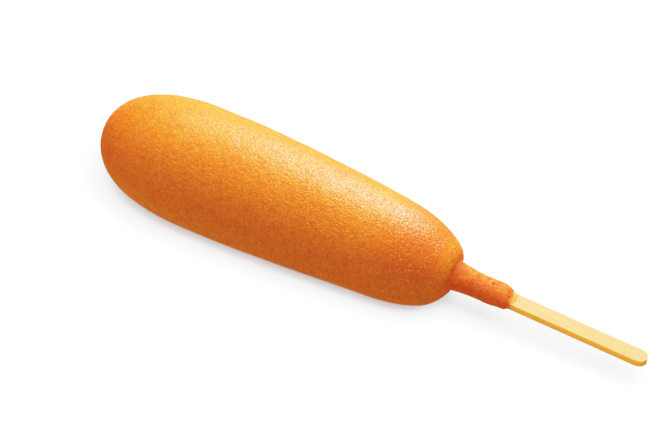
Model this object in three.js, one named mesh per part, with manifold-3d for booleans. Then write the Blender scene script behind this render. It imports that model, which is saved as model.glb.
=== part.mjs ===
// A corn dog lying on its side: one deep-fried batter body, with its batter drawn out
// into a thin collar round a flat wooden stick.
// Millimetres. +X runs from the rounded head to the bare end of the stick, and +Z is up.
// The origin is under the middle of the whole length, on the level that the corn dog lies on.

import * as THREE from "three";
import { mergeVertices } from "three/addons/utils/BufferGeometryUtils.js";
import Module from "manifold-3d";

// The batter body. Lengths run along its own axis, from the tip of the head.
const BODY_LENGTH = 124.6; // to the root of the collar
const HEAD_LENGTH = 34.8; // the rounded head, up to the widest ring
const HEAD_RADIUS = 19.8; // of the widest ring
const HEAD_BLUNTNESS = 0.484; // share of the radius over which the tip stays flat
const HEAD_FULLNESS = 0.757; // share of the head over which its side stays full
const SHOULDER_START = 101.8; // where the barrel ends and the shoulder turns in
const SHOULDER_RADIUS = 16.3;
const SHOULDER_TAPER = 0.086; // radius lost for each millimetre there
const SHOULDER_HOLD = 0.88; // share of the shoulder over which it keeps that taper
const SHOULDER_FULLNESS = 0.21; // how square the shoulder is just before the collar

// The collar of batter that climbs the stick.
const COLLAR_LENGTH = 20.8;
const COLLAR_ROOT_RADIUS = 4.3;
const COLLAR_FILLET = 1.2; // the crease between shoulder and collar
const COLLAR_NECK = 9.5; // from the root to the slimmest ring
const COLLAR_NECK_RADIUS = 3.86;
const COLLAR_SWELL = 13; // from the root to the faint swelling before the mouth
const COLLAR_SWELL_RADIUS = 3.9;
const COLLAR_MOUTH_RADIUS = 3.3;
const COLLAR_LIP = 0.3; // round edge of the mouth
const COLLAR_OVAL = 0.16; // how much wider than a circle, and lower, the mouth is
const COLLAR_SLANT = -0.22; // the mouth leans towards -Y

// How the body strays from a straight line, up or down.
const BOW = 0.63; // rise of the middle
const SWAY = 0.22; // height of one slow wave along the body
const COLLAR_BEND = 7; // the last of the body, where its middle meets the stick's

// The flat stick.
const STICK_LENGTH = 140;
const STICK_WIDTH = 5.0;
const STICK_THICKNESS = 2.5;
const STICK_OUT = 65.1; // from the collar's root to the bare end
const STICK_END_ROUND = 3.2; // length of each rounded end
const STICK_EDGE = 0.4; // tumbled edges
const STICK_RISE = 0.75; // above the body's axis at the collar's root
const STICK_DROOP = THREE.MathUtils.degToRad(1.2);
const SLOT_GAP = 0.2; // between the stick and the batter that grips it

// How it lies.
const BODY_TILT = THREE.MathUtils.degToRad(2.2); // the head is fatter, so the stick end dips
const FLAT_DEPTH = 0.7; // of batter pressed flat underneath

const AROUND = 44; // facets round the body
const GROUND_BLOCK = 400; // larger than the corn dog in every direction

const wasm = await Module();
wasm.setup();

// Turns a closed geometry into a solid that can be cut.
function solidOf(geometry) {
  const bare = geometry.clone().deleteAttribute("normal").deleteAttribute("uv");
  const merged = mergeVertices(bare);
  return new wasm.Manifold(
    new wasm.Mesh({
      numProp: 3,
      vertProperties: merged.getAttribute("position").array,
      triVerts: new Uint32Array(merged.index.array),
    }),
  );
}

// Turns a solid back into a geometry with flat facets.
function geometryOf(solid) {
  const mesh = solid.getMesh();
  const shared = new THREE.BufferGeometry();
  shared.setAttribute("position", new THREE.BufferAttribute(mesh.vertProperties, 3));
  shared.setIndex(new THREE.BufferAttribute(mesh.triVerts, 1));
  const faceted = shared.toNonIndexed();
  faceted.computeVertexNormals();
  return faceted;
}

// Joins curves that follow each other into one list of points, with its own step count on each.
function trace(stretches) {
  return stretches.flatMap(([curve, steps], i) => curve.getPoints(steps).slice(i ? 1 : 0));
}

function point(radius, along) {
  return new THREE.Vector2(radius, along);
}

// Half of the lengthwise section: radius against distance from the tip of the head.
function bodyProfile() {
  const barrel = SHOULDER_START - HEAD_LENGTH;
  const mouth = BODY_LENGTH + COLLAR_LENGTH;
  const head = new THREE.CubicBezierCurve(
    point(0, 0),
    point(HEAD_BLUNTNESS * HEAD_RADIUS, 0),
    point(HEAD_RADIUS, (1 - HEAD_FULLNESS) * HEAD_LENGTH),
    point(HEAD_RADIUS, HEAD_LENGTH),
  );
  const side = new THREE.CubicBezierCurve(
    point(HEAD_RADIUS, HEAD_LENGTH),
    point(HEAD_RADIUS, HEAD_LENGTH + 0.2 * barrel),
    point(SHOULDER_RADIUS + 0.6 * barrel * SHOULDER_TAPER, SHOULDER_START - 0.6 * barrel),
    point(SHOULDER_RADIUS, SHOULDER_START),
  );
  const hold = SHOULDER_HOLD * (BODY_LENGTH - SHOULDER_START);
  const squareness = SHOULDER_FULLNESS * (SHOULDER_RADIUS - COLLAR_ROOT_RADIUS);
  const turnIn = new THREE.CubicBezierCurve(
    point(SHOULDER_RADIUS, SHOULDER_START),
    point(SHOULDER_RADIUS - hold * SHOULDER_TAPER, SHOULDER_START + hold),
    point(COLLAR_ROOT_RADIUS + squareness, BODY_LENGTH),
    point(COLLAR_ROOT_RADIUS + COLLAR_FILLET, BODY_LENGTH),
  );
  const crease = new THREE.QuadraticBezierCurve(
    point(COLLAR_ROOT_RADIUS + COLLAR_FILLET, BODY_LENGTH),
    point(COLLAR_ROOT_RADIUS, BODY_LENGTH),
    point(COLLAR_ROOT_RADIUS, BODY_LENGTH + COLLAR_FILLET),
  );
  const collar = new THREE.SplineCurve([
    point(COLLAR_ROOT_RADIUS, BODY_LENGTH + COLLAR_FILLET),
    point(COLLAR_NECK_RADIUS, BODY_LENGTH + COLLAR_NECK),
    point(COLLAR_SWELL_RADIUS, BODY_LENGTH + COLLAR_SWELL),
    point(COLLAR_MOUTH_RADIUS, mouth - COLLAR_LIP),
  ]);
  const lip = new THREE.QuadraticBezierCurve(
    point(COLLAR_MOUTH_RADIUS, mouth - COLLAR_LIP),
    point(COLLAR_MOUTH_RADIUS, mouth),
    point(COLLAR_MOUTH_RADIUS - COLLAR_LIP, mouth),
  );
  const face = new THREE.LineCurve(point(COLLAR_MOUTH_RADIUS - COLLAR_LIP, mouth), point(0, mouth));
  return trace([
    [head, 13], [side, 9], [turnIn, 10], [crease, 2], [collar, 8], [lip, 2], [face, 1],
  ]);
}

// Height of the stick's middle above the body's axis.
function stickHeight(along) {
  return STICK_RISE - (along - BODY_LENGTH) * Math.tan(STICK_DROOP);
}

// Height of the batter's middle above the body's axis.
function batterHeight(along) {
  const u = Math.min(along / BODY_LENGTH, 1);
  const body = BOW * 4 * u * (1 - u) - SWAY * Math.sin(2 * Math.PI * u);
  const atCollar = THREE.MathUtils.smoothstep(along, BODY_LENGTH - COLLAR_BEND, BODY_LENGTH);
  return THREE.MathUtils.lerp(body, stickHeight(along), atCollar);
}

// The uncut batter along +X: a turned form, bent a little, with its collar pressed oval.
function batterForm() {
  const form = new THREE.LatheGeometry(bodyProfile(), AROUND);
  form.rotateZ(-Math.PI / 2);
  const at = form.getAttribute("position");
  for (let i = 0; i < at.count; i += 1) {
    const along = at.getX(i);
    const y = at.getY(i);
    const z = at.getZ(i);
    const collar = THREE.MathUtils.smoothstep(along, BODY_LENGTH, BODY_LENGTH + COLLAR_LENGTH);
    at.setXYZ(
      i,
      along + y * COLLAR_SLANT * collar,
      y * (1 + COLLAR_OVAL * collar),
      z * (1 - COLLAR_OVAL * collar) + batterHeight(along),
    );
  }
  return form;
}

// A flat stick centred on the origin, or with a clearance the slot that it sits in.
function stickForm(clearance = 0) {
  const straight = STICK_LENGTH / 2 - STICK_END_ROUND;
  const endRound = STICK_END_ROUND + clearance;
  const halfWidth = STICK_WIDTH / 2 + clearance;
  const plan = new THREE.Shape();
  plan.absellipse(straight, 0, endRound, halfWidth, -Math.PI / 2, Math.PI / 2, false);
  plan.absellipse(-straight, 0, endRound, halfWidth, Math.PI / 2, 1.5 * Math.PI, false);
  plan.closePath();
  const depth = STICK_THICKNESS + 2 * clearance - 2 * STICK_EDGE;
  const form = new THREE.ExtrudeGeometry(plan, {
    depth,
    bevelThickness: STICK_EDGE,
    bevelSize: STICK_EDGE,
    bevelOffset: -STICK_EDGE,
    bevelSegments: 2,
    curveSegments: 8,
  });
  return form.translate(0, 0, -depth / 2);
}

// Where the stick's centre sits, measured from the tip of the head along the body's axis.
function stickCentre() {
  const fromRoot = STICK_OUT - STICK_LENGTH / 2;
  return new THREE.Vector3(
    BODY_LENGTH + fromRoot * Math.cos(STICK_DROOP),
    0,
    STICK_RISE - fromRoot * Math.sin(STICK_DROOP),
  );
}

// Height, above the tilted body's origin, of the level that the batter rests on.
function restLevel(form) {
  const tilted = form.clone().rotateY(BODY_TILT);
  const box = new THREE.Box3().setFromBufferAttribute(tilted.getAttribute("position"));
  return box.min.z + FLAT_DEPTH;
}

function makeBatter(form, level) {
  const centre = stickCentre();
  const slot = stickForm(SLOT_GAP);
  slot.rotateY(STICK_DROOP).translate(centre.x, centre.y, centre.z);
  const ground = new THREE.BoxGeometry(GROUND_BLOCK, GROUND_BLOCK, GROUND_BLOCK);
  ground.translate(0, 0, level - GROUND_BLOCK / 2).rotateY(-BODY_TILT);
  const solid = solidOf(form).subtract(solidOf(slot)).subtract(solidOf(ground));
  const crust = new THREE.MeshStandardMaterial({ color: 0xe0902f, roughness: 0.42, metalness: 0 });
  const batter = new THREE.Mesh(geometryOf(solid), crust);
  batter.name = "batter";
  return batter;
}

function makeStick() {
  const birch = new THREE.MeshStandardMaterial({ color: 0xf6d695, roughness: 0.6, metalness: 0 });
  const stick = new THREE.Mesh(stickForm(), birch);
  stick.name = "stick";
  stick.position.copy(stickCentre());
  stick.rotation.y = STICK_DROOP;
  return stick;
}

const form = batterForm();
const level = restLevel(form);
const lying = new THREE.Group();
lying.rotation.y = BODY_TILT;
lying.position.z = -level;
lying.add(makeBatter(form, level), makeStick());

const corndog = new THREE.Group();
corndog.add(lying);
const box = new THREE.Box3().setFromObject(corndog, true);
lying.position.x = -(box.min.x + box.max.x) / 2;

export default corndog;
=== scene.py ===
"""A corn dog lying on its side: fried batter drawn out into a collar round a flat birch stick."""

import math
import random

import bmesh
import bpy
from mathutils import Matrix, Vector, noise
from mathutils.geometry import interpolate_bezier


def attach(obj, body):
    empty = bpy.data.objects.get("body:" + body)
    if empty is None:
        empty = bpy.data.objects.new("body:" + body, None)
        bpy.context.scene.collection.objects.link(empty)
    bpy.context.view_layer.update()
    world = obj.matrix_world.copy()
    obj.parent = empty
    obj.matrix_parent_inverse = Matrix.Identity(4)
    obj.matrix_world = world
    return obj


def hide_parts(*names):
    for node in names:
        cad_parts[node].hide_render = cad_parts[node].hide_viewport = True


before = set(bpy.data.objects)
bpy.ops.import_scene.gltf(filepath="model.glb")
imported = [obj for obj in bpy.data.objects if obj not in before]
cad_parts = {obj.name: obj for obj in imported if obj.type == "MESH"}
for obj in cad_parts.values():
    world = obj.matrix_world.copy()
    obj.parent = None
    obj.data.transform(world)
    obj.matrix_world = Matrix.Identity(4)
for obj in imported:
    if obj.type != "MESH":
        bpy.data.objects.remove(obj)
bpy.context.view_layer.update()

MM = 0.001

# The forms of the CAD, in millimetres along the body's own axis from the tip of the head.
BODY_LENGTH = 124.6
HEAD_LENGTH = 34.8
HEAD_RADIUS = 19.8
HEAD_BLUNTNESS = 0.484
HEAD_FULLNESS = 0.757
SHOULDER_START = 101.8
SHOULDER_RADIUS = 16.3
SHOULDER_TAPER = 0.086
SHOULDER_HOLD = 0.88
SHOULDER_FULLNESS = 0.21
COLLAR_LENGTH = 20.8
COLLAR_ROOT_RADIUS = 4.3
COLLAR_FILLET = 1.2
COLLAR_NECK = 9.5
COLLAR_NECK_RADIUS = 3.86
COLLAR_SWELL = 13.0
COLLAR_SWELL_RADIUS = 3.9
COLLAR_MOUTH_RADIUS = 3.3
COLLAR_OVAL = 0.16
COLLAR_SLANT = -0.22
COLLAR_BEND = 7.0
BOW = 0.63
SWAY = 0.22
STICK_LENGTH = 140.0
STICK_WIDTH = 5.0
STICK_THICKNESS = 2.5
STICK_OUT = 65.1
STICK_END_ROUND = 3.2
STICK_EDGE = 0.4
STICK_RISE = 0.75
STICK_DROOP = math.radians(1.2)
BODY_TILT = math.radians(2.2)
HEAD_TIP = Vector((-94.785, 0, 20.368))  # where the tip of the head lies in the part's frame

MOUTH = BODY_LENGTH + COLLAR_LENGTH

# How finely the pieces are modelled.
BATTER_STEPS = 250  # round the body
SECTOR_APART = 1000  # in the order of the faces; more millimetres than the corn dog is long
BODY_SPACING = 0.5  # millimetres between rings
COLLAR_SPACING = 0.34
CURVE_POINTS = 400  # on each curve before its points are spaced evenly
SLOT_RINGS = 8
STICK_CELLS = (280, 20)  # lengthwise and across

# The unevenness of the fried skin: its height, how far apart it comes and a shift, in millimetres.
SWELLS = (0.12, 14, Vector((0, 0, 0)))
DIMPLES = (0.06, 3.1, Vector((5, 0, 0)))
WRINKLES = (0.05, 1.25, Vector((0, 7, 0)))

# The end of the collar, in millimetres.
FILM_START = 17.2  # from the body's end, where it begins to take the stick's flat shape
FILM_THICKNESS = 0.9
FILM_AT_MOUTH = 0.22  # thickness of the batter at its very end
FILM_THINS = 3.5  # over this length before the mouth
EDGE_ROUNDS = ((0.8, 0.12), (0.4, 0.24), (0.0, 0.3))  # shares of that thickness, and how far past the mouth
EDGE_SHORT = 0.55  # how far before the collar's full length most of its edge stops
CREASE = 19.2  # from the body's end
CREASE_DEPTH = 0.2
CREASE_WIDTH = 0.25
SLOT_GAP = 0.04  # between the batter and the wood
SECTION_SQUARENESS = (9, 4.5)  # of the section close on the wood, and of the film's outside
SECTION_ROUNDED = 0.3  # this far off the wood it has that roundness
SLOT_SPARE = 0.4  # behind the stick's hidden end
COLLAR_LEAN = 0.35  # how far the last of the collar sags off the stick's middle, to the far side
COLLAR_LEANS_AT = BODY_LENGTH + 16.5
COLLAR_LEAN_WIDTH = 3.0

# The burst bubble on top of the collar, in millimetres.
BUBBLE_ALONG = BODY_LENGTH + 13.2
BUBBLE_ANGLE = math.radians(88)  # round the collar, where 90 degrees is the top
BUBBLE_OFF_AXIS = (4.2, 3.6)  # across and up, on the collar's oval skin
BUBBLE_REACH = 3.0
RIM_RADIUS = 0.95
RIM_WIDTH = 0.4
RIM_HEIGHT = 0.15
# how strongly the painted highlight pales the bubble's rim
RIM_HIGHLIGHT = 0.45
CRATER_RADIUS = 0.6
CRATER_DEPTH = 0.34

# The loose meal and crumbs, in millimetres.
GRAINS = 700
GRAIN_SEED = 21
GRAIN_SIZES = (0.13, 0.24)
GRAINS_STOP = 2.0  # this far before the collar's root
GRAINS_CLEAR = 1.0  # and this high above the board
SMALLEST_FACE = 0.05  # area of a face of the skin that is big enough for a grain
CRUMBS = 16
CRUMB_SEED = 8
CRUMB_SIZES = (0.16, 0.36)
CRUMBS_ACROSS = (-2.1, 0.6)  # from the near edge of the stick to just past its middle
CRUMBS_PAST_EDGE = 0.4
CRUMB_ROUGHNESS = 0.12
SOAKED_LENGTH = 2.2  # how far past the mouth fat has soaked into the wood

# What the skin is coloured by, each from 0 to 1 on every vertex.
COLOUR_LAYERS = ("thin_skin_and_root_shade", "pale_film_and_highlight", "end_shade", "collar_shade", "painted_bounce", "crater_shade")

# The camera, in millimetres.
CAMERA_AIM = Vector((-13.441, 0, 18.693))
CAMERA_DISTANCE = 849.75
CAMERA_AZIMUTH = math.radians(29.49)
CAMERA_ELEVATION = math.radians(45)
CAMERA_LENS = 150
SENSOR_WIDTH = 36


def direction(azimuth, elevation):
    """The way from the corn dog to something that stands at these angles round it."""
    flat = math.cos(elevation)
    return Vector((math.sin(azimuth) * flat, -math.cos(azimuth) * flat, math.sin(elevation)))


def look_from(thing, place, target):
    """Puts a camera or light at place, pointing at target, both in millimetres."""
    thing.location = place * MM
    thing.rotation_euler = (target - place).to_track_quat("-Z", "Y").to_euler()
    bpy.context.scene.collection.objects.link(thing)


def make_camera():
    lens = bpy.data.cameras.new("camera")
    lens.lens = CAMERA_LENS
    lens.sensor_width = SENSOR_WIDTH
    lens.clip_start = 0.01
    lens.clip_end = 20
    camera = bpy.data.objects.new("camera", lens)
    away = direction(CAMERA_AZIMUTH, CAMERA_ELEVATION) * CAMERA_DISTANCE
    look_from(camera, CAMERA_AIM + away, CAMERA_AIM)
    bpy.context.scene.camera = camera


make_camera()


# ---- small helpers ----


def linear(code):
    """A linear colour with alpha from an sRGB hex value."""
    channels = [int(code[i : i + 2], 16) / 255 for i in (1, 3, 5)]
    return [c / 12.92 if c <= 0.04045 else ((c + 0.055) / 1.055) ** 2.4 for c in channels] + [1]


def smoothstep(low, high, value):
    share = min(max((value - low) / (high - low), 0), 1)
    return share * share * (3 - 2 * share)


def lerp(start, end, share):
    return start + (end - start) * share


def hump(off, width):
    """1 in the middle of a soft hump, falling to almost nothing at twice its width."""
    return math.exp(-((off / width) ** 2))


def face_outwards(bm):
    """Merges doubles and points every face outwards, turning round a shell that came out inside out."""
    bmesh.ops.remove_doubles(bm, verts=bm.verts, dist=1e-4)
    bmesh.ops.recalc_face_normals(bm, faces=bm.faces)
    if bm.calc_volume(signed=True) < 0:
        bmesh.ops.reverse_faces(bm, faces=bm.faces)


def finish_piece(name, bm, material, node=None):
    """Makes a smooth-shaded piece of a bmesh in millimetres, riding on the part's only body."""
    bmesh.ops.scale(bm, vec=(MM, MM, MM), verts=bm.verts)
    for face in bm.faces:
        face.smooth = True
    mesh = bpy.data.meshes.new(name)
    bm.to_mesh(mesh)
    bm.free()
    mesh.materials.append(material)
    piece = bpy.data.objects.new(name, mesh)
    bpy.context.scene.collection.objects.link(piece)
    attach(piece, "root")
    if node:
        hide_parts(node)
    return piece


# ---- shared forms ----


def stick_height(along):
    """Height of the stick's middle above the body's axis."""
    return STICK_RISE - (along - BODY_LENGTH) * math.tan(STICK_DROOP)


def batter_height(along):
    """Height of the batter's middle above the body's axis."""
    share = min(along / BODY_LENGTH, 1)
    body = BOW * 4 * share * (1 - share) - SWAY * math.sin(2 * math.pi * share)
    at_collar = smoothstep(BODY_LENGTH - COLLAR_BEND, BODY_LENGTH, along)
    return lerp(body, stick_height(along), at_collar)


LYING = Matrix.Translation(HEAD_TIP) @ Matrix.Rotation(BODY_TILT, 4, "Y")


# ---- materials ----


BASE, OVER = 6, 7  # the colour inputs of a Mix node
MIXED = 2  # and its colour output


def per_metre(millimetres):
    """The scale of a pattern whose features are this many millimetres across."""
    return 1000 / millimetres


def add_node(tree, kind, settings=None):
    """Adds a node. Each setting is a property, a socket's value, or an output to link to the socket."""
    node = tree.nodes.new("ShaderNode" + kind)
    for name, value in (settings or {}).items():
        if isinstance(value, bpy.types.NodeSocket):
            tree.links.new(value, node.inputs[name])
        elif hasattr(node, str(name)):
            setattr(node, name, value)
        else:
            node.inputs[name].default_value = value
    return node


def new_material(name):
    """An empty material, its node tree and its shader."""
    material = bpy.data.materials.new(name)
    material.use_nodes = True
    tree = material.node_tree
    return material, tree, tree.nodes["Principled BSDF"]


def fried_batter_crust():
    """Corn batter fried golden in deep fat: an oily skin, finely pitted, redder where thin."""
    material, tree, shader = new_material("fried_batter_crust")
    place = add_node(tree, "TexCoord").outputs["Object"]
    layers = {}
    for name in COLOUR_LAYERS:
        layers[name] = add_node(tree, "Attribute", {"attribute_name": name}).outputs["Fac"]

    # Browning is uneven in soft patches about as wide as a thumb.
    patches = add_node(tree, "TexNoise", {"Scale": per_metre(20), "Detail": 2.0, "Vector": place})
    browned = add_node(
        tree, "MapRange", {"From Min": 0.35, "From Max": 0.75, "To Max": 0.3, "Value": patches.outputs[0]}
    )

    # The crumb of the batter mottles the skin every two millimetres or so.
    mottle = add_node(tree, "TexNoise", {"Scale": per_metre(2.0), "Detail": 4.0, "Vector": place})
    mottled = add_node(
        tree, "MapRange", {"From Min": 0.42, "From Max": 0.68, "To Max": 0.6, "Value": mottle.outputs[0]}
    )

    # Between the pits the skin is grainy like fine sand. Sand is finer than this, but wouldn't show.
    sand = add_node(tree, "TexNoise", {"Scale": per_metre(0.5), "Detail": 1.0, "Vector": place})
    sanded = add_node(
        tree, "MapRange", {"From Min": 0.48, "From Max": 0.7, "To Max": 0.75, "Value": sand.outputs[0]}
    )

    # Meal grains just under the skin show as paler points.
    meal = add_node(tree, "TexVoronoi", {"Scale": per_metre(0.95), "Vector": place})
    specks = add_node(
        tree,
        "MapRange",
        {"From Min": 0.3, "From Max": 0.14, "To Max": 0.55, "Value": meal.outputs["Distance"]},
    )

    # The collar is thin enough to fry redder in small blotches.
    blotches = add_node(tree, "TexNoise", {"Scale": per_metre(1.5), "Detail": 3.0, "Vector": place})
    blotched = add_node(
        tree, "MapRange", {"From Min": 0.35, "From Max": 0.65, "Value": blotches.outputs[0]}
    )

    thick_coats = [
        (browned.outputs[0], "#F07415"),  # toasted patches
        (layers["end_shade"], "#DE5C0E"),  # painted shade: the ends darker, so the body looks rounder there
        (layers["painted_bounce"], "#FFA42A"),  # painted bounce light: the underside lighter and yellower
        (mottled.outputs[0], "#E6630E"),
        (sanded.outputs[0], "#D05A10"),
        (specks.outputs[0], "#FBB24A"),
    ]
    thin_coats = [
        (blotched.outputs[0], "#EE741A"),
        (layers["pale_film_and_highlight"], "#F4A048"),  # the last film on the wood looks pale and dry; the bubble rim's painted highlight shares this layer
        (layers["collar_shade"], "#B44A0C"),  # painted shade: a rusty brown in the root's corner and on the near side
        (layers["crater_shade"], "#7E3208"),  # painted shade on the burst bubble's floor, the darkest spot
    ]
    skins = []
    for first, coats in (("#FA861A", thick_coats), ("#DE520C", thin_coats)):
        colour = linear(first)
        for share, coat in coats:
            settings = {"data_type": "RGBA", 0: share, BASE: colour, OVER: linear(coat)}
            colour = add_node(tree, "Mix", settings).outputs[MIXED]
        skins.append(colour)
    # The collar's thin skin, and painted shade where its colours spread over the body round the root.
    skin = add_node(
        tree, "Mix", {"data_type": "RGBA", 0: layers["thin_skin_and_root_shade"], BASE: skins[0], OVER: skins[1]}
    )
    tree.links.new(skin.outputs[MIXED], shader.inputs["Base Color"])

    # Fat leaves the skin half glossy, duller in the pits, on the collar and seen along the skin.
    oil = add_node(tree, "TexNoise", {"Scale": per_metre(3), "Detail": 2.0, "Vector": place})
    gloss = add_node(tree, "MapRange", {"To Min": 0.23, "To Max": 0.35, "Value": oil.outputs[0]})
    pitted = add_node(
        tree, "MapRange", {"From Min": 0.46, "From Max": 0.64, "To Max": 0.38, "Value": sand.outputs[0]}
    )
    dulled = add_node(
        tree, "Math", {"operation": "MULTIPLY_ADD", 0: layers["thin_skin_and_root_shade"], 1: 0.5, 2: pitted.outputs[0]}
    )
    facing = add_node(tree, "LayerWeight", {"Blend": 0.5}).outputs["Facing"]
    grazed = add_node(tree, "MapRange", {"From Min": 0.5, "From Max": 0.8, "To Max": 0.35, "Value": facing})
    duller = add_node(tree, "Math", {"operation": "ADD", 0: dulled.outputs[0], 1: grazed.outputs[0]})
    rough = add_node(tree, "Math", {"operation": "ADD", 0: gloss.outputs[0], 1: duller.outputs[0]})
    tree.links.new(rough.outputs[0], shader.inputs["Roughness"])

    # Fine wrinkles and pits, a little under a millimetre across, and the sand on them.
    wrinkles = add_node(
        tree, "TexNoise", {"Scale": per_metre(0.85), "Detail": 2.0, "Roughness": 0.55, "Vector": place}
    )
    wrinkled = add_node(
        tree, "Bump", {"Strength": 1.0, "Distance": 0.25 * MM, "Height": wrinkles.outputs[0]}
    )
    gritty = add_node(
        tree,
        "Bump",
        {
            "Strength": 1.0,
            "Distance": 0.12 * MM,
            "Height": sand.outputs[0],
            "Normal": wrinkled.outputs[0],
        },
    )
    pits = add_node(
        tree,
        "Bump",
        {
            "Strength": 0.6,
            "Distance": 0.06 * MM,
            "invert": True,
            "Height": specks.outputs[0],
            "Normal": gritty.outputs[0],
        },
    )
    tree.links.new(pits.outputs[0], shader.inputs["Normal"])

    shader.inputs["IOR"].default_value = 1.46
    shader.inputs["Specular IOR Level"].default_value = 0.75
    shader.inputs["Subsurface Weight"].default_value = 0.25
    shader.inputs["Subsurface Radius"].default_value = (1.0, 0.36, 0.14)
    shader.inputs["Subsurface Scale"].default_value = 3 * MM
    return material


def cut_birch():
    """Birch veneer cut into sticks: pale, silky and straight-grained; the glow of light in its edges is
    painted into their colour.
    """
    material, tree, shader = new_material("cut_birch")
    place = add_node(tree, "TexCoord").outputs["Object"]

    # Fibres run along the stick, so their pattern is drawn out lengthwise, and the streaks' less so.
    fibres_at = add_node(tree, "Mapping", {"Scale": (0.03, 1, 1), "Vector": place}).outputs[0]
    fibres = add_node(tree, "TexNoise", {"Scale": per_metre(0.5), "Detail": 3.0, "Vector": fibres_at})
    fine = add_node(
        tree, "MapRange", {"From Min": 0.5, "From Max": 0.75, "To Max": 0.5, "Value": fibres.outputs[0]}
    ).outputs[0]
    streaks_at = add_node(tree, "Mapping", {"Scale": (0.08, 1, 1), "Vector": place}).outputs[0]
    streaks = add_node(tree, "TexNoise", {"Scale": per_metre(1.6), "Detail": 2.0, "Vector": streaks_at})
    streaked = add_node(
        tree, "MapRange", {"From Min": 0.35, "From Max": 0.65, "Value": streaks.outputs[0]}
    ).outputs[0]

    # The flat face is a pale cream, and the cut edges are painted honey yellow, a painted glow of light
    # through the wood.
    surfaces = []
    for first, coats in (
        ("#F5B168", [(streaked, "#F2A354"), (fine, "#E69A4E")]),
        ("#FCB044", [(fine, "#EE9A30")]),
    ):
        colour = linear(first)
        for share, coat in coats:
            settings = {"data_type": "RGBA", 0: share, BASE: colour, OVER: linear(coat)}
            colour = add_node(tree, "Mix", settings).outputs[MIXED]
        surfaces.append(colour)
    cut = add_node(tree, "Attribute", {"attribute_name": "painted_edge_glow"}).outputs["Fac"]
    wood = add_node(tree, "Mix", {"data_type": "RGBA", 0: cut, BASE: surfaces[0], OVER: surfaces[1]})

    # Fat has soaked a little way along the wood from the mouth of the collar, and darkens it.
    soaked = add_node(tree, "Attribute", {"attribute_name": "soaked"}).outputs["Fac"]
    settings = {"data_type": "RGBA", 0: soaked, BASE: wood.outputs[MIXED], OVER: linear("#F29A3C")}
    stained = add_node(tree, "Mix", settings)
    tree.links.new(stained.outputs[MIXED], shader.inputs["Base Color"])

    gloss = add_node(tree, "MapRange", {"To Min": 0.5, "To Max": 0.66, "Value": fibres.outputs[0]})
    tree.links.new(gloss.outputs[0], shader.inputs["Roughness"])
    grain = add_node(tree, "Bump", {"Strength": 0.6, "Distance": 0.04 * MM, "Height": fibres.outputs[0]})
    tree.links.new(grain.outputs[0], shader.inputs["Normal"])
    shader.inputs["IOR"].default_value = 1.5
    shader.inputs["Subsurface Weight"].default_value = 0.6
    shader.inputs["Subsurface Radius"].default_value = (1.0, 0.55, 0.2)
    shader.inputs["Subsurface Scale"].default_value = 2.5 * MM
    return material


def toasted_meal():
    """Coarse cornmeal toasted by the fat: pale amber points that catch a little light."""
    material, tree, shader = new_material("toasted_meal")
    place = add_node(tree, "TexCoord").outputs["Object"]
    tint = add_node(tree, "TexNoise", {"Scale": per_metre(1.5), "Vector": place}).outputs[0]
    settings = {"data_type": "RGBA", 0: tint, BASE: linear("#F58E22"), OVER: linear("#F8A63A")}
    toasted = add_node(tree, "Mix", settings)
    tree.links.new(toasted.outputs[MIXED], shader.inputs["Base Color"])
    coarse = add_node(tree, "Bump", {"Distance": 0.02 * MM, "Height": tint})
    tree.links.new(coarse.outputs[0], shader.inputs["Normal"])
    shader.inputs["Roughness"].default_value = 0.5
    shader.inputs["IOR"].default_value = 1.5
    return material


crust_finish = fried_batter_crust()
birch_finish = cut_birch()
meal_finish = toasted_meal()


# ---- the batter ----


def even(points, spacing):
    """The same line with its points about this far apart."""
    lengths = [0]
    for before, after in zip(points, points[1:]):
        lengths.append(lengths[-1] + (after - before).length)
    count = max(1, round(lengths[-1] / spacing))
    spaced = []
    stretch = 0
    for step in range(count + 1):
        wanted = lengths[-1] * step / count
        while stretch < len(points) - 2 and lengths[stretch + 1] < wanted:
            stretch += 1
        share = (wanted - lengths[stretch]) / (lengths[stretch + 1] - lengths[stretch])
        spaced.append(points[stretch].lerp(points[stretch + 1], share))
    return spaced


def at(radius, along):
    """A point of the batter's lengthwise section."""
    return Vector((along, 0, radius))


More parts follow.
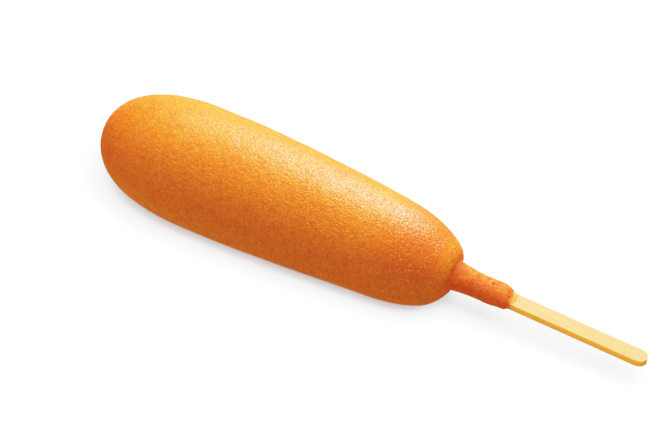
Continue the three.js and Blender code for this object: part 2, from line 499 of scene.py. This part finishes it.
def skin_line():
    """Half of the lengthwise section, from the tip of the head to the rim of the mouth."""
    barrel = SHOULDER_START - HEAD_LENGTH
    head_handle = 0.2 * barrel
    taper_handle = 0.6 * barrel
    hold = SHOULDER_HOLD * (BODY_LENGTH - SHOULDER_START)
    squareness = SHOULDER_FULLNESS * (SHOULDER_RADIUS - COLLAR_ROOT_RADIUS)
    body = [
        (
            at(0, 0),
            at(HEAD_BLUNTNESS * HEAD_RADIUS, 0),
            at(HEAD_RADIUS, (1 - HEAD_FULLNESS) * HEAD_LENGTH),
            at(HEAD_RADIUS, HEAD_LENGTH),
        ),
        (
            at(HEAD_RADIUS, HEAD_LENGTH),
            at(HEAD_RADIUS, HEAD_LENGTH + head_handle),
            at(SHOULDER_RADIUS + taper_handle * SHOULDER_TAPER, SHOULDER_START - taper_handle),
            at(SHOULDER_RADIUS, SHOULDER_START),
        ),
        (
            at(SHOULDER_RADIUS, SHOULDER_START),
            at(SHOULDER_RADIUS - hold * SHOULDER_TAPER, SHOULDER_START + hold),
            at(COLLAR_ROOT_RADIUS + squareness, BODY_LENGTH),
            at(COLLAR_ROOT_RADIUS + COLLAR_FILLET, BODY_LENGTH),
        ),
    ]
    # Past the fillet, the handles follow the spline that the CAD draws through the collar's rings.
    collar = [
        (
            at(COLLAR_ROOT_RADIUS + COLLAR_FILLET, BODY_LENGTH),
            at(COLLAR_ROOT_RADIUS + COLLAR_FILLET / 3, BODY_LENGTH),
            at(COLLAR_ROOT_RADIUS, BODY_LENGTH + COLLAR_FILLET / 3),
            at(COLLAR_ROOT_RADIUS, BODY_LENGTH + COLLAR_FILLET),
        ),
        (
            at(COLLAR_ROOT_RADIUS, BODY_LENGTH + COLLAR_FILLET),
            at(COLLAR_ROOT_RADIUS - 0.15, BODY_LENGTH + 4),
            at(COLLAR_NECK_RADIUS, BODY_LENGTH + 7),
            at(COLLAR_NECK_RADIUS, BODY_LENGTH + COLLAR_NECK),
        ),
        (
            at(COLLAR_NECK_RADIUS, BODY_LENGTH + COLLAR_NECK),
            at(COLLAR_NECK_RADIUS, BODY_LENGTH + 11),
            at(COLLAR_SWELL_RADIUS, BODY_LENGTH + 11.6),
            at(COLLAR_SWELL_RADIUS, BODY_LENGTH + COLLAR_SWELL),
        ),
        (
            at(COLLAR_SWELL_RADIUS, BODY_LENGTH + COLLAR_SWELL),
            at(COLLAR_SWELL_RADIUS - 0.05, BODY_LENGTH + 15.5),
            at(COLLAR_MOUTH_RADIUS + 0.3, BODY_LENGTH + 18),
            at(COLLAR_MOUTH_RADIUS, MOUTH),
        ),
    ]
    line = []
    for curves, spacing in ((body, BODY_SPACING), (collar, COLLAR_SPACING)):
        for curve in curves:
            points = even(interpolate_bezier(*curve, CURVE_POINTS), spacing)
            line += points[1:] if line else points
    return line


def whole_section():
    """The skin's line, its edge and the slot in it: each point, its share of the stick's shape, its gap."""
    section = []
    for point in skin_line():
        past = point.x - BODY_LENGTH
        share = smoothstep(FILM_START, COLLAR_LENGTH, past)
        thinned = smoothstep(COLLAR_LENGTH - FILM_THINS, COLLAR_LENGTH, past)
        section.append((point, share, lerp(FILM_THICKNESS, FILM_AT_MOUTH, thinned)))
    for left, further in EDGE_ROUNDS:
        section.append((at(COLLAR_MOUTH_RADIUS, MOUTH + further), 1, FILM_AT_MOUTH * left + SLOT_GAP))
    slot_back = BODY_LENGTH + STICK_OUT - STICK_LENGTH - SLOT_SPARE
    for step in range(1, SLOT_RINGS + 1):
        along = lerp(MOUTH, slot_back, (step / SLOT_RINGS) ** 2)
        section.append((at(COLLAR_MOUTH_RADIUS, along), 1, SLOT_GAP))
    section.append((at(0, slot_back), 1, SLOT_GAP))
    return section


def stick_section(angle, clearance):
    """The stick's section, grown by the clearance, as a distance from its middle."""
    squareness = lerp(*SECTION_SQUARENESS, min(clearance / SECTION_ROUNDED, 1))
    across = abs(math.cos(angle)) / (STICK_WIDTH / 2 + clearance)
    up = abs(math.sin(angle)) / (STICK_THICKNESS / 2 + clearance)
    return (across**squareness + up**squareness) ** (-1 / squareness)


def mouth_reach(angle):
    """How far past the collar's full length the batter's edge lies; it crept furthest on the far side."""
    across = math.cos(angle)
    up = math.sin(angle)
    crept = 0.4 * across + 0.5 * across * across
    ragged = 0.4 * noise.noise(Vector((across * 1.7, up * 1.7, 4.2)))
    frayed = 0.35 * noise.noise(Vector((across * 5, up * 5, 9.1)))
    return -EDGE_SHORT + crept + ragged + frayed


def mouth_crease(past, angle):
    """A short crease where the thick batter ends on the far side and only a film goes on."""
    far_top = smoothstep(0.2, 0.6, math.cos(angle)) * smoothstep(0.1, 0.3, math.sin(angle))
    return -CREASE_DEPTH * far_top * hump(past - CREASE, CREASE_WIDTH)


def skin_relief(spot):
    """How far the fried skin stands off its smooth form, in millimetres."""
    off = 0
    for height, apart, shift in (SWELLS, DIMPLES, WRINKLES):
        off += height * noise.noise(spot / apart + shift)
    return off


def root_fill(along, radius, angle):
    """How much batter rounds off the corner between body and collar, and bulges the body's end face."""
    past = along - BODY_LENGTH
    off_collar = max(radius - COLLAR_ROOT_RADIUS, 0)
    up = math.sin(angle)
    thicker = (0.19 + 0.13 * up) * hump(past - 1, 6) * hump(off_collar, 1.2)
    away = math.hypot(past - 0.4, radius - COLLAR_ROOT_RADIUS - 0.4)
    corner = (0.15 - 0.05 * up) * hump(away, 2.1)
    bulge = lerp(-0.15, 0.4, smoothstep(-0.6, 0.6, up))
    end_face = bulge * hump(radius - 7, 3) * smoothstep(-6, -1, past)
    return thicker + corner + end_face


def thin_skin_and_root_shade_share(along, radius, angle):
    """1 on the collar, fading out over the body round its root, least far on the far upper side; on the
    body round the root it is painted shade.
    """
    away = math.hypot(max(BODY_LENGTH - along, 0), max(radius - COLLAR_ROOT_RADIUS, 0))
    far_top = smoothstep(0.1, 0.8, math.cos(angle - math.radians(60)))
    return 1 - smoothstep(0.2, lerp(3.2, 1.6, far_top), away)


def film_share(past, along, angle):
    """How far the skin has gone over to a pale film, most of all on the far side of the mouth."""
    far = smoothstep(0.3, 0.6, math.cos(angle)) * smoothstep(CREASE, CREASE + 0.5, past)
    return max(far, 0.5 * smoothstep(MOUTH - 1.5, MOUTH, along))


def end_shading(along, angle):
    """How much painted shade darkens the upper side of the head and of the body's last two centimetres."""
    up = math.sin(angle)
    past = along - BODY_LENGTH
    head = 0.5 * smoothstep(-0.6, 0.1, up) * (1 - smoothstep(0, 34, along))
    end = 0.7 * smoothstep(0.1, 0.6, up) * smoothstep(-28, -11, past) * (1 - smoothstep(-5, -1, past))
    return head + end


def painted_bounce_share(along, angle):
    """How much painted bounce light makes the underside lighter and yellower, most of all towards the head.
    """
    return smoothstep(-0.3, 0.3, -math.sin(angle)) * lerp(0.7, 0.25, smoothstep(20, 80, along))


def collar_shading(past, radius, angle):
    """How much painted shade darkens the corner above the collar's root and the collar's near side."""
    above = smoothstep(0.6, 0.95, math.sin(angle))
    on_collar = 1 - smoothstep(5, 7, radius)
    root = above * on_collar * hump(max(past - 1, 0), 2)
    off_near_side = math.remainder(angle - math.radians(137), 2 * math.pi)
    near_side = hump(off_near_side, math.radians(32)) * smoothstep(3, 8, past)
    return max(root, 0.55 * near_side)


def turned_place(along, y, z):
    """Where a point of the turned form goes when the collar is pressed oval and its mouth slants."""
    collar = smoothstep(BODY_LENGTH, MOUTH, along)
    slant = y * COLLAR_SLANT * collar
    return Vector((along + slant, y * (1 + COLLAR_OVAL * collar), z * (1 - COLLAR_OVAL * collar)))


def hugging_place(along, off_axis, angle):
    """Where it goes when it follows the stick's flat shape, out to the collar's ragged edge."""
    reach = mouth_reach(angle) * smoothstep(MOUTH - 5, MOUTH, along)
    return Vector((along + reach, math.cos(angle) * off_axis, math.sin(angle) * off_axis))


def face_place(face):
    """A number that puts the faces of the turned form in a fixed order, which merging doesn't keep."""
    centre = face.calc_center_median()
    sector = round(math.atan2(centre.z, centre.y) * BATTER_STEPS / (2 * math.pi)) % BATTER_STEPS
    return sector * SECTOR_APART + centre.x


def make_batter():
    bm = bmesh.new()
    layers = {name: bm.verts.layers.float.new(name) for name in ("hug", "film", *COLOUR_LAYERS)}
    hug = layers["hug"]  # how far a vertex has gone over to the stick's shape
    film = layers["film"]  # and how far off the stick it then stays
    previous = None
    for point, share, gap in whole_section():
        vert = bm.verts.new(point)
        vert[hug] = share
        vert[film] = gap
        if previous:
            bm.edges.new((previous, vert))
        previous = vert
    bmesh.ops.spin(
        bm,
        geom=bm.verts[:] + bm.edges[:],
        axis=(1, 0, 0),
        cent=(0, 0, 0),
        steps=BATTER_STEPS,
        angle=2 * math.pi,
        use_merge=True,
    )
    face_outwards(bm)
    bm.faces.sort(key=face_place)
    swelling = {}
    for vert in bm.verts:
        along, y, z = vert.co
        radius = math.hypot(y, z)
        angle = math.atan2(z, y)
        turned = 1 - vert[hug]
        place = turned_place(along, y, z)
        if vert[hug] > 0:
            off_axis = stick_section(angle, vert[film]) if radius > 0 else 0
            place = place.lerp(hugging_place(along, off_axis, angle), vert[hug])
        past = place.x - BODY_LENGTH
        vert[layers["thin_skin_and_root_shade"]] = thin_skin_and_root_shade_share(along, radius, angle)
        vert[layers["pale_film_and_highlight"]] = film_share(past, along, angle)
        # Painted shade towards the ends of the body.
        vert[layers["end_shade"]] = end_shading(along, angle)
        # Painted shade in the corner above the collar's root and on its near side.
        vert[layers["collar_shade"]] = collar_shading(along - BODY_LENGTH, radius, angle)
        # Painted bounce light on the underside.
        vert[layers["painted_bounce"]] = painted_bounce_share(along, angle)
        swelling[vert] = root_fill(along, radius, angle) * turned + mouth_crease(past, angle)
        place.y += COLLAR_LEAN * hump(along - COLLAR_LEANS_AT, COLLAR_LEAN_WIDTH) * turned
        place.z += batter_height(along)
        vert.co = place
    bm.normal_update()
    raise_skin(bm, layers, swelling)
    bmesh.ops.transform(bm, matrix=LYING, verts=bm.verts)
    # The body's own weight pressed it flat where it touches the board.
    for vert in bm.verts:
        vert.co.z = max(vert.co.z, 0)
    bm.normal_update()
    return bm


def raise_skin(bm, layers, swelling):
    """Moves every vertex off or into the skin: its swelling, its unevenness and the burst bubble."""
    across, up = BUBBLE_OFF_AXIS
    bubble = Vector((
        BUBBLE_ALONG,
        math.cos(BUBBLE_ANGLE) * across,
        math.sin(BUBBLE_ANGLE) * up + batter_height(BUBBLE_ALONG),
    ))
    pale_film_and_highlight = layers["pale_film_and_highlight"]
    moves = []
    for vert in bm.verts:
        off = skin_relief(vert.co) * (1 - vert[layers["hug"]]) + swelling[vert]
        away = (vert.co - bubble).length
        if away < BUBBLE_REACH:
            rim = hump(away - RIM_RADIUS, RIM_WIDTH)
            crater_shade = hump(away, CRATER_RADIUS)
            off += RIM_HEIGHT * rim - CRATER_DEPTH * crater_shade
            # A painted highlight pales the rim's skin on its side towards the body only.
            highlight_side = smoothstep(-0.3, 0.9, (bubble.x - vert.co.x) / max(away, 0.1))
            vert[pale_film_and_highlight] = max(vert[pale_film_and_highlight], RIM_HIGHLIGHT * rim * highlight_side)
            # The crater's floor is painted dark as shade.
            vert[layers["crater_shade"]] = crater_shade
        moves.append(vert.normal * off)
    for vert, move in zip(bm.verts, moves):
        vert.co += move


def make_grains(batter):
    """Coarse meal grains that stand out of the skin."""
    draw = random.Random(GRAIN_SEED)
    last = HEAD_TIP.x + BODY_LENGTH - GRAINS_STOP
    faces = []
    areas = []
    for face in batter.faces:
        area = face.calc_area()
        if face.calc_center_median().x < last and area > SMALLEST_FACE:
            faces.append(face)
            areas.append(area)
    bm = bmesh.new()
    for face in draw.choices(faces, weights=areas, k=GRAINS):
        spot = face.calc_center_median()
        if spot.z < GRAINS_CLEAR:
            continue
        size = draw.uniform(*GRAIN_SIZES)
        shape = Matrix.Diagonal((size * draw.uniform(0.8, 1.4), size, size * 0.5, 1))
        turn = face.normal.to_track_quat("Z", "Y").to_matrix().to_4x4()
        spin = Matrix.Rotation(draw.uniform(0, 2 * math.pi), 4, "Z")
        place = Matrix.Translation(spot) @ turn @ spin @ shape
        bmesh.ops.create_icosphere(bm, subdivisions=1, radius=1, matrix=place)
    return bm


def make_mouth_crumbs():
    """Crumbs of batter that cling to the stick along the near part of the collar's ragged edge."""
    draw = random.Random(CRUMB_SEED)
    noise.seed_set(CRUMB_SEED)  # noise_vector would go by the clock without it
    bm = bmesh.new()
    for number in range(CRUMBS):
        across = lerp(*CRUMBS_ACROSS, number / (CRUMBS - 1)) + draw.uniform(-0.15, 0.15)
        along = MOUTH - EDGE_SHORT + CRUMBS_PAST_EDGE + draw.uniform(-0.25, 0.45)
        size = draw.uniform(*CRUMB_SIZES)
        height = stick_height(along) + STICK_THICKNESS / 2 + size * 0.3
        shape = Matrix.Diagonal((size * draw.uniform(0.9, 1.5), size, size * 0.75, 1))
        turn = Matrix.Rotation(draw.uniform(0, 2 * math.pi), 4, "Z")
        place = Matrix.Translation((along, across, height)) @ turn @ shape
        made = bmesh.ops.create_icosphere(bm, subdivisions=2, radius=1, matrix=place)
        for vert in made["verts"]:
            vert.co += noise.noise_vector(vert.co * 2.6) * CRUMB_ROUGHNESS
    bmesh.ops.transform(bm, matrix=LYING, verts=bm.verts)
    return bm


batter = make_batter()
grains = make_grains(batter)
pieces = [
    finish_piece("batter_crust", batter, crust_finish, "batter"),
    finish_piece("cornmeal_grains", grains, meal_finish),
    finish_piece("mouth_crumbs", make_mouth_crumbs(), meal_finish),
]


# ---- the stick ----


def is_rim(edge):
    """Whether an edge of the stick lies between a flat face and the side."""
    if len(edge.link_faces) != 2:
        return False
    one, other = (face.normal.z for face in edge.link_faces)
    return abs(one - other) > 0.9


def make_stick():
    bm = bmesh.new()
    lengthwise, across = STICK_CELLS
    bmesh.ops.create_grid(bm, x_segments=lengthwise, y_segments=across, size=1)
    half = STICK_LENGTH / 2
    straight = half - STICK_END_ROUND
    for vert in bm.verts:
        x = vert.co.x * half
        # Towards the ends the stick narrows along half an oval.
        over = max(abs(x) - straight, 0) / STICK_END_ROUND
        y = vert.co.y * STICK_WIDTH / 2 * math.sqrt(max(1 - over * over, 0))
        vert.co = Vector((x, y, 0))
    bmesh.ops.remove_doubles(bm, verts=bm.verts, dist=1e-4)
    bmesh.ops.recalc_face_normals(bm, faces=bm.faces)
    top = bmesh.ops.extrude_face_region(bm, geom=bm.faces[:])
    raised = [item for item in top["geom"] if isinstance(item, bmesh.types.BMVert)]
    bmesh.ops.translate(bm, vec=(0, 0, STICK_THICKNESS), verts=raised)
    bmesh.ops.translate(bm, vec=(0, 0, -STICK_THICKNESS / 2), verts=bm.verts)
    face_outwards(bm)
    bmesh.ops.bevel(
        bm,
        geom=[edge for edge in bm.edges if is_rim(edge)],
        offset=STICK_EDGE,
        offset_type="OFFSET",
        segments=3,
        profile=0.5,
        affect="EDGES",
        material=-1,
        clamp_overlap=True,
    )
    # The side faces carry the painted glow of light through the wood.
    cut = bm.verts.layers.float.new("painted_edge_glow")
    soaked = bm.verts.layers.float.new("soaked")
    bm.normal_update()
    mouth = half - STICK_OUT + COLLAR_LENGTH - EDGE_SHORT
    for vert in bm.verts:
        flatness = max(abs(face.normal.z) for face in vert.link_faces)
        vert[cut] = 1 - smoothstep(0.3, 0.95, flatness)
        reach = SOAKED_LENGTH + 0.5 * noise.noise(vert.co * 1.5)
        vert[soaked] = 1 - smoothstep(mouth, mouth + reach, vert.co.x)
    from_root = STICK_OUT - half
    centre = Vector((
        BODY_LENGTH + from_root * math.cos(STICK_DROOP),
        0,
        STICK_RISE - from_root * math.sin(STICK_DROOP),
    ))
    place = LYING @ Matrix.Translation(centre) @ Matrix.Rotation(STICK_DROOP, 4, "Y")
    bmesh.ops.transform(bm, matrix=place, verts=bm.verts)
    return bm


pieces.append(finish_piece("birch_stick", make_stick(), birch_finish, "stick"))


# ---- board and light ----


BOARD_SIZE = 6.0  # half its width, in metres
BOARD_DROP = 0.05  # millimetres under the corn dog, so that the two never share a plane
BOARD_GLOW = 0.45
BOARD_LIGHT = 42
BOARD_LIGHT_SPREAD = math.radians(46)
BOARD_LIGHT_WAY = direction(math.radians(48), math.radians(66))
SOFTBOX_COLOUR = (1, 0.92, 0.8)
WARM_CARD_COLOUR = (1, 0.75, 0.55)

# The world's colours, and the heights between which they blend, from -1 straight down to 1 straight up.
UNDERSIDE_COLOUR = [0.5, 0.42, 0.27, 1]
BOUNCE_COLOUR = [1.03, 0.66, 0.49, 1]
DOME_COLOUR = [0.42, 0.41, 0.40, 1]
BACKDROP_COLOUR = [3.0, 3.0, 3.0, 1]
UNDERSIDE_BLEND = (-0.9, -0.4)
HORIZON_BLEND = (-0.15, 0.15)

# The film's curve: the light of the scene, and the value shown for it.
FILM_WHITE = 3.0
FILM_CURVE = [
    (0.25, 0.25),
    (0.5, 0.497),
    (0.67, 0.61),
    (0.83, 0.68),
    (1.085, 0.775),
    (1.33, 0.855),
    (1.61, 0.9),
    (2.06, 0.936),
    (2.5, 0.96),
    (3.0, 1),
]


def make_floor():
    material, tree, shader = new_material("pale_board")
    place = add_node(tree, "TexCoord").outputs["Object"]
    tone = add_node(tree, "TexNoise", {"Scale": per_metre(60), "Vector": place}).outputs[0]
    # Grey, lit brightly and glowing a little like a light table, the board stays white, and the
    # warm light from the crust doesn't tint its shadow.
    settings = {"data_type": "RGBA", 0: tone, BASE: linear("#808080"), OVER: linear("#828282")}
    grey = add_node(tree, "Mix", settings)
    tree.links.new(grey.outputs[MIXED], shader.inputs["Base Color"])
    shader.inputs["Emission Color"].default_value = (1, 1, 1, 1)
    shader.inputs["Emission Strength"].default_value = BOARD_GLOW
    shader.inputs["Roughness"].default_value = 0.9
    bm = bmesh.new()
    bmesh.ops.create_grid(bm, x_segments=1, y_segments=1, size=BOARD_SIZE)
    mesh = bpy.data.meshes.new("floor")
    bm.to_mesh(mesh)
    bm.free()
    mesh.materials.append(material)
    floor = bpy.data.objects.new("floor", mesh)
    floor.location.z = -BOARD_DROP * MM
    bpy.context.scene.collection.objects.link(floor)
    # The warm light from below comes from the world, so the bright board doesn't light the corn dog.
    floor.visible_diffuse = False
    floor.visible_glossy = False
    return floor


def collect(name, things):
    """A collection that light linking names; it isn't part of the scene."""
    collection = bpy.data.collections.new(name)
    for thing in things:
        collection.objects.link(thing)
    return collection


def add_softbox(name, way, distance, width, height, power, lit):
    """A soft rectangular light, this far off in that direction, that shines on the lit pieces only."""
    lamp = bpy.data.lights.new(name, "AREA")
    lamp.shape = "RECTANGLE"
    lamp.size = width * MM
    lamp.size_y = height * MM
    lamp.energy = power
    lamp.color = SOFTBOX_COLOUR
    softbox = bpy.data.objects.new(name, lamp)
    look_from(softbox, CAMERA_AIM + way.normalized() * distance, CAMERA_AIM)
    softbox.light_linking.receiver_collection = lit
    return softbox


def add_board_light(board_only):
    """A broad light on the board alone, so that the shadow is a soft rim under the near side."""
    lamp = bpy.data.lights.new("board_light", "SUN")
    lamp.energy = BOARD_LIGHT
    lamp.angle = BOARD_LIGHT_SPREAD
    light = bpy.data.objects.new("board_light", lamp)
    look_from(light, CAMERA_AIM + BOARD_LIGHT_WAY * 600, CAMERA_AIM)
    light.light_linking.receiver_collection = board_only


def light_studio():
    """Even light from all round: neutral above, warm low down, darker underneath, white backdrop."""
    world = bpy.data.worlds.new("studio")
    bpy.context.scene.world = world
    world.use_nodes = True
    tree = world.node_tree
    way = add_node(tree, "TexCoord").outputs["Generated"]
    up = add_node(tree, "SeparateXYZ", {"Vector": way}).outputs["Z"]
    shares = []
    for low, high in (UNDERSIDE_BLEND, HORIZON_BLEND):
        blend = add_node(tree, "MapRange", {"From Min": low, "From Max": high, "Value": up})
        shares.append(blend.outputs[0])
    shares.append(add_node(tree, "LightPath").outputs["Is Camera Ray"])
    colour = UNDERSIDE_COLOUR
    for share, over in zip(shares, (BOUNCE_COLOUR, DOME_COLOUR, BACKDROP_COLOUR)):
        settings = {"data_type": "RGBA", 0: share, BASE: colour, OVER: over}
        colour = add_node(tree, "Mix", settings).outputs[MIXED]
    background = tree.nodes["Background"]
    tree.links.new(colour, background.inputs["Color"])
    background.inputs["Strength"].default_value = 1
    world.cycles_visibility.glossy = False


def soften_highlights():
    """Rolls bright values off gently, as film does, instead of clipping them."""
    look = bpy.context.scene.view_settings
    look.view_transform = "Standard"
    look.use_curve_mapping = True
    look.curve_mapping.white_level = [FILM_WHITE] * 3
    curve = look.curve_mapping.curves[3]
    curve.points[0].location = (0, 0)
    curve.points[1].location = (1, FILM_CURVE[-1][1])
    for scene_value, shown_value in FILM_CURVE[:-1]:
        curve.points.new(scene_value / FILM_WHITE, shown_value)
    look.curve_mapping.update()


floor = make_floor()
board_only = collect("board_only", [floor])
corn_dog_only = collect("corn_dog_only", pieces)
stick_only = collect("stick_only", pieces[-1:])

# The long highlight. Nothing on the corn dog blocks its light, so it falls on collar and stick too.
far_softbox = add_softbox("far_softbox", Vector((-0.08, 0.70, 0.70)), 500, 200, 400, 4.6, corn_dog_only)
far_softbox.light_linking.blocker_collection = board_only
# The rest only fill in and aren't reflected.
overhead = add_softbox("overhead_softbox", Vector((0, 0.31, 0.95)), 600, 500, 500, 5.3, corn_dog_only)
overhead.visible_glossy = False
head_card = add_softbox("head_card", Vector((-0.9, -0.42, 0.02)), 500, 300, 300, 0.95, corn_dog_only)
head_card.data.color = WARM_CARD_COLOUR
head_card.visible_glossy = False
stick_card = add_softbox("stick_card", Vector((0.3, -0.95, 0.1)), 400, 400, 200, 0.9, stick_only)
stick_card.visible_glossy = False
add_board_light(board_only)
light_studio()
soften_highlights()
